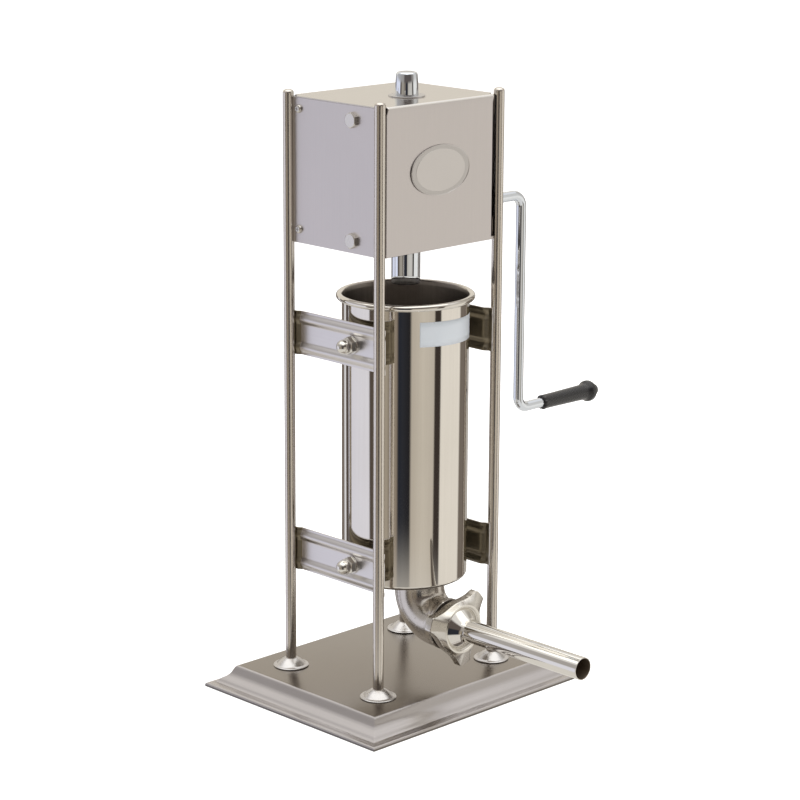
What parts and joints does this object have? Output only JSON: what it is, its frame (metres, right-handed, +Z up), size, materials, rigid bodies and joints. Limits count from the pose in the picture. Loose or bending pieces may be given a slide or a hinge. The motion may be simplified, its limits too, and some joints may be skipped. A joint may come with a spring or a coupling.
{
  "type": "sausage stuffer",
  "caption": "Upright hand-cranked sausage stuffer: steel cylinder on a framed base, geared screw ram from above, elbow outlet with a screwed-on stuffing tube.",
  "frame": {"origin": "middle of the base pan's underside, on the bench", "axes": "+Z up, -Y towards the stuffing tube, +X towards the crank"},
  "size_m": [0.4812, 0.4265, 0.6985],
  "materials": {
    "base_steel": "satin folded sheet",
    "post_steel": "satin drawn bar",
    "panel_steel": "vertically brushed sheet",
    "bracket_steel": "satin pressed strip",
    "polished_steel": "mirror-polished stainless steel",
    "chrome_trim": "bright chrome",
    "fastener_steel": "turned stainless steel",
    "cast_outlet": "polished casting",
    "label_film": "blank film label",
    "badge_plate": "satin plate, blank",
    "bronze": "turned bearing bronze",
    "gear_steel": "machined steel, oiled",
    "cast_housing": "cast and machined",
    "grip_plastic": "moulded black",
    "bearing_plastic": "moulded nylon",
    "piston_plastic": "moulded food-grade plastic",
    "seal_rubber": "silicone rubber"
  },
  "bodies": {
    "frame": {"base_plate": "base_steel", "post_front_left": "post_steel", "post_front_right": "post_steel", "post_rear_left": "post_steel", "post_rear_right": "post_steel", "foot_flange_front_left": "polished_steel", "foot_flange_front_right": "polished_steel", "foot_flange_rear_left": "polished_steel", "foot_flange_rear_right": "polished_steel", "post_washers": "fastener_steel", "post_nuts": "fastener_steel", "bracket_lower_left": "bracket_steel", "bracket_lower_right": "bracket_steel", "bracket_upper_left": "bracket_steel", "bracket_upper_right": "bracket_steel", "cylinder_bosses": "polished_steel", "bracket_studs": "fastener_steel", "bracket_washers": "fastener_steel", "acorn_nuts": "chrome_trim", "cylinder": "polished_steel", "cylinder_label": "label_film", "outlet_elbow": "cast_outlet", "outlet_gasket": "seal_rubber", "gearbox_cover": "panel_steel", "gearbox_side_left": "panel_steel", "gearbox_side_right": "panel_steel", "gearbox_tray": "panel_steel", "gearbox_cleats": "panel_steel", "side_hex_bolts": "fastener_steel", "side_pan_screws": "fastener_steel", "front_badge": "badge_plate", "top_bush": "polished_steel", "ram_nut": "bronze", "ram_nut_rivets": "fastener_steel", "crown_washer": "bronze", "bearing_housing": "cast_housing", "shaft_bushes": "bronze", "shaft_washer": "bearing_plastic"},
    "crank": {"drive_shaft": "gear_steel", "drive_pinion": "gear_steel", "lock_screw": "fastener_steel", "crank_rod": "chrome_trim", "grip_screw": "grip_plastic"},
    "grip": {"crank_grip": "grip_plastic"},
    "crown": {"crown_wheel": "gear_steel"},
    "outer_ram": {"ram_sleeve": "chrome_trim"},
    "inner_ram": {"ram_rod": "chrome_trim"},
    "piston": {"piston_plate": "piston_plastic", "piston_seal": "seal_rubber", "piston_boss": "piston_plastic"},
    "air_valve": {"piston_valve": "polished_steel"},
    "tube": {"stuffing_tube": "polished_steel"},
    "nut": {"wing_nut": "cast_outlet"}
  },
  "joints": [
    {"name": "crank_turn", "type": "hinge", "parent": "frame", "child": "crank", "pos_m": [0, -0.0193, 0.544], "axis": [1, 0, 0], "range_deg": [0, 8930]},
    {"name": "crown_turn", "type": "hinge", "parent": "frame", "child": "crown", "pos_m": [0, -0.0193, 0.525], "axis": [0, 0, 1], "range_deg": [0, 4465]},
    {"name": "outer_ram_slide", "type": "slide", "parent": "crown", "child": "outer_ram", "axis": [0, 0, -1], "range_m": [0, 0.1241]},
    {"name": "inner_ram_slide", "type": "slide", "parent": "frame", "child": "inner_ram", "axis": [0, 0, -1], "range_m": [0, 0.2977]},
    {"name": "piston_slide", "type": "slide", "parent": "frame", "child": "piston", "axis": [0, 0, -1], "range_m": [-0.27, 0]},
    {"name": "air_valve_lift", "type": "slide", "parent": "piston", "child": "air_valve", "axis": [0, 0, 1], "range_m": [0, 0.0025]},
    {"name": "grip_spin", "type": "hinge", "parent": "crank", "child": "grip", "pos_m": [0.26, -0.0193, 0.2935], "axis": [1, 0, 0], "continuous": true},
    {"name": "tube_pull_off", "type": "slide", "parent": "frame", "child": "tube", "axis": [0, -1, 0], "range_m": [0, 0.06]},
    {"name": "wing_nut_turn", "type": "hinge", "parent": "tube", "child": "nut", "pos_m": [0, -0.104, 0.092], "axis": [0, -1, 0], "continuous": true}
  ],
  "couplings": [
    {"joint": "crown_turn", "follows": "crank_turn", "ratio": 0.5},
    {"joint": "outer_ram_slide", "follows": "crank_turn", "m_per_rad": 0.00079577},
    {"joint": "inner_ram_slide", "follows": "crank_turn", "m_per_rad": 0.0019099}
  ]
}
